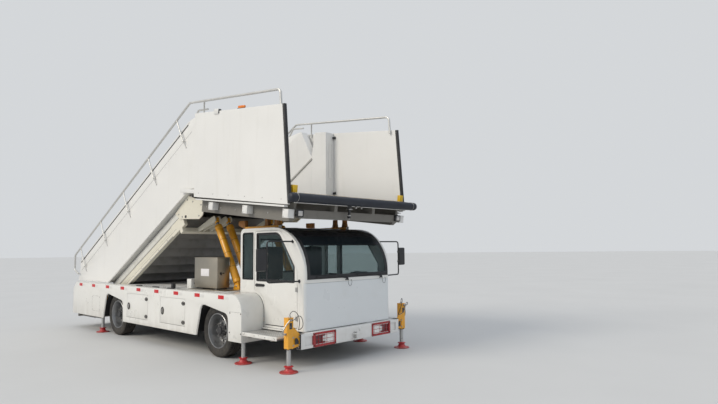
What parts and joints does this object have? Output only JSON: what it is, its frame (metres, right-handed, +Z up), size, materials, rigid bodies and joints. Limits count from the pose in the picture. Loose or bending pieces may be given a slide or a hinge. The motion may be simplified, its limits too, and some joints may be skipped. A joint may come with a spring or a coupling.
{
  "type": "mobile aircraft stairs",
  "caption": "Self-propelled passenger stairs: low truck with small cab, jacks, raisable telescoping flight and boarding platform.",
  "frame": {"origin": "on the ground, midway along the parked length, on the centre line", "axes": "+X forward to the platform's front, +Y to the vehicle's left, +Z up"},
  "size_m": [7.7373, 3.16, 4.1432],
  "materials": {
    "white_paint": "gloss white paint",
    "grey_steel": "grey painted steel",
    "tread_metal": "ribbed aluminium treads",
    "orange_paint": "gloss orange-yellow paint",
    "black_plastic": "matte black",
    "stainless": "brushed stainless steel",
    "rim_steel": "silver painted steel",
    "tyre_rubber": "black tyre rubber",
    "buffer_rubber": "black rubber",
    "cab_window": "tinted glass",
    "jack_red": "red paint",
    "lamp_red": "dark red lens",
    "rod_chrome": "chromed rod",
    "seat_vinyl": "black vinyl"
  },
  "bodies": {
    "chassis": {"frame": "grey_steel", "deck_beams": "grey_steel", "rear_frame": "grey_steel", "deck": "white_paint", "skirt_right": "white_paint", "skirt_left": "white_paint", "cab_shell": "white_paint", "front_panel": "white_paint", "windshield": "cab_window", "cab_glass": "cab_window", "bumper": "white_paint", "lamps": "lamp_red", "step_boards": "white_paint", "control_box": "stainless", "seats": "seat_vinyl", "dashboard": "black_plastic", "steering_wheel": "black_plastic", "front_axle": "grey_steel", "rear_axle": "grey_steel", "jack_mounts": "orange_paint", "mirrors": "black_plastic", "roof_rests": "orange_paint", "engine": "grey_steel", "locker_boxes": "white_paint", "lift_brackets": "orange_paint"},
    "door_right": {"door_right": "white_paint"},
    "door_left": {"door_left": "white_paint"},
    "knuckle_right": {"knuckle_right": "grey_steel"},
    "knuckle_left": {"knuckle_left": "grey_steel"},
    "lower_flight": {"lower_flight": "white_paint"},
    "upper_flight": {"upper_flight": "white_paint", "balustrade_right": "white_paint", "balustrade_left": "white_paint", "platform_floor": "tread_metal", "platform_walls": "white_paint", "hand_rails": "stainless", "front_buffer": "buffer_rubber", "platform_lamps": "black_plastic"},
    "locker_door_1": {"locker_door_1": "white_paint"},
    "locker_door_2": {"locker_door_2": "white_paint"},
    "locker_door_3": {"locker_door_3": "white_paint"},
    "locker_door_4": {"locker_door_4": "white_paint"},
    "jack_leg_1": {"jack_leg_1": "jack_red"},
    "jack_leg_2": {"jack_leg_2": "jack_red"},
    "jack_leg_3": {"jack_leg_3": "jack_red"},
    "jack_leg_4": {"jack_leg_4": "jack_red"},
    "jack_leg_5": {"jack_leg_5": "jack_red"},
    "jack_leg_6": {"jack_leg_6": "jack_red"},
    "wheel_front_right": {"tyre_front_right": "tyre_rubber", "rim_front_right": "rim_steel"},
    "wheel_front_left": {"tyre_front_left": "tyre_rubber", "rim_front_left": "rim_steel"},
    "wheel_rear_right": {"tyre_rear_right": "tyre_rubber", "rim_rear_right": "rim_steel"},
    "wheel_rear_left": {"tyre_rear_left": "tyre_rubber", "rim_rear_left": "rim_steel"},
    "lift_barrels_right": {"lift_barrels_right": "orange_paint"},
    "lift_rods_right": {"lift_rods_right": "rod_chrome"},
    "lift_barrels_left": {"lift_barrels_left": "orange_paint"},
    "lift_rods_left": {"lift_rods_left": "rod_chrome"}
  },
  "joints": [
    {"name": "steer_left", "type": "hinge", "parent": "chassis", "child": "knuckle_left", "pos_m": [1.957, 1, 0.398], "axis": [0, 0, 1], "range_deg": [-28, 28]},
    {"name": "steer_right", "type": "hinge", "parent": "chassis", "child": "knuckle_right", "pos_m": [1.957, -1, 0.398], "axis": [0, 0, 1], "range_deg": [-28, 28]},
    {"name": "wheel_front_right_spin", "type": "hinge", "parent": "knuckle_right", "child": "wheel_front_right", "pos_m": [1.957, -1.118, 0.398], "axis": [0, 1, 0], "continuous": true},
    {"name": "wheel_front_left_spin", "type": "hinge", "parent": "knuckle_left", "child": "wheel_front_left", "pos_m": [1.957, 1.118, 0.398], "axis": [0, 1, 0], "continuous": true},
    {"name": "wheel_rear_right_spin", "type": "hinge", "parent": "chassis", "child": "wheel_rear_right", "pos_m": [-1.513, -1.118, 0.398], "axis": [0, 1, 0], "continuous": true},
    {"name": "wheel_rear_left_spin", "type": "hinge", "parent": "chassis", "child": "wheel_rear_left", "pos_m": [-1.513, 1.118, 0.398], "axis": [0, 1, 0], "continuous": true},
    {"name": "door_right_open", "type": "hinge", "parent": "chassis", "child": "door_right", "pos_m": [3.445, -0.918, 1.2], "axis": [0, 0, 1], "range_deg": [0, 65]},
    {"name": "door_left_open", "type": "hinge", "parent": "chassis", "child": "door_left", "pos_m": [3.445, 0.918, 1.2], "axis": [0, 0, -1], "range_deg": [0, 65]},
    {"name": "locker_door_1_open", "type": "hinge", "parent": "chassis", "child": "locker_door_1", "pos_m": [1.149, -1.316, 0.62], "axis": [0, 0, 1], "range_deg": [0, 95]},
    {"name": "locker_door_2_open", "type": "hinge", "parent": "chassis", "child": "locker_door_2", "pos_m": [-0.119, -1.316, 0.62], "axis": [0, 0, 1], "range_deg": [0, 95]},
    {"name": "locker_door_3_open", "type": "hinge", "parent": "chassis", "child": "locker_door_3", "pos_m": [1.149, 1.316, 0.62], "axis": [0, 0, -1], "range_deg": [0, 95]},
    {"name": "locker_door_4_open", "type": "hinge", "parent": "chassis", "child": "locker_door_4", "pos_m": [-0.119, 1.316, 0.62], "axis": [0, 0, -1], "range_deg": [0, 95]},
    {"name": "jack_1_lift", "type": "slide", "parent": "chassis", "child": "jack_leg_1", "axis": [0, 0, 1], "range_m": [0, 0.2]},
    {"name": "jack_2_lift", "type": "slide", "parent": "chassis", "child": "jack_leg_2", "axis": [0, 0, 1], "range_m": [0, 0.2]},
    {"name": "jack_3_lift", "type": "slide", "parent": "chassis", "child": "jack_leg_3", "axis": [0, 0, 1], "range_m": [0, 0.2]},
    {"name": "jack_4_lift", "type": "slide", "parent": "chassis", "child": "jack_leg_4", "axis": [0, 0, 1], "range_m": [0, 0.2]},
    {"name": "jack_5_lift", "type": "slide", "parent": "chassis", "child": "jack_leg_5", "axis": [0, 0, 1], "range_m": [0, 0.2]},
    {"name": "jack_6_lift", "type": "slide", "parent": "chassis", "child": "jack_leg_6", "axis": [0, 0, 1], "range_m": [0, 0.2]},
    {"name": "flight_raise", "type": "hinge", "parent": "chassis", "child": "lower_flight", "pos_m": [-2.69978, 0, 0.39449], "axis": [0, -1, 0], "range_deg": [0, 9]},
    {"name": "flight_extend", "type": "slide", "parent": "lower_flight", "child": "upper_flight", "axis": [0.8821, 0, 0.471], "range_m": [0, 2]},
    {"name": "lift_tilt_right", "type": "hinge", "parent": "chassis", "child": "lift_barrels_right", "pos_m": [1.752, -0.585, 1.04], "axis": [0, -1, 0], "range_deg": [-1.5, 0.5]},
    {"name": "lift_stroke_right", "type": "slide", "parent": "lift_barrels_right", "child": "lift_rods_right", "axis": [-0.5249, 0, 0.8511], "range_m": [0, 0.66]},
    {"name": "lift_tilt_left", "type": "hinge", "parent": "chassis", "child": "lift_barrels_left", "pos_m": [1.752, 0.585, 1.04], "axis": [0, -1, 0], "range_deg": [-1.5, 0.5]},
    {"name": "lift_stroke_left", "type": "slide", "parent": "lift_barrels_left", "child": "lift_rods_left", "axis": [-0.5249, 0, 0.8511], "range_m": [0, 0.66]}
  ],
  "couplings": [
    {"joint": "steer_right", "follows": "steer_left", "ratio": 1},
    {"joint": "lift_tilt_right", "follows": "flight_raise", "ratio": -0.11},
    {"joint": "lift_stroke_right", "follows": "flight_raise", "m_per_rad": 4.1495},
    {"joint": "lift_tilt_left", "follows": "flight_raise", "ratio": -0.11},
    {"joint": "lift_stroke_left", "follows": "flight_raise", "m_per_rad": 4.1495}
  ]
}
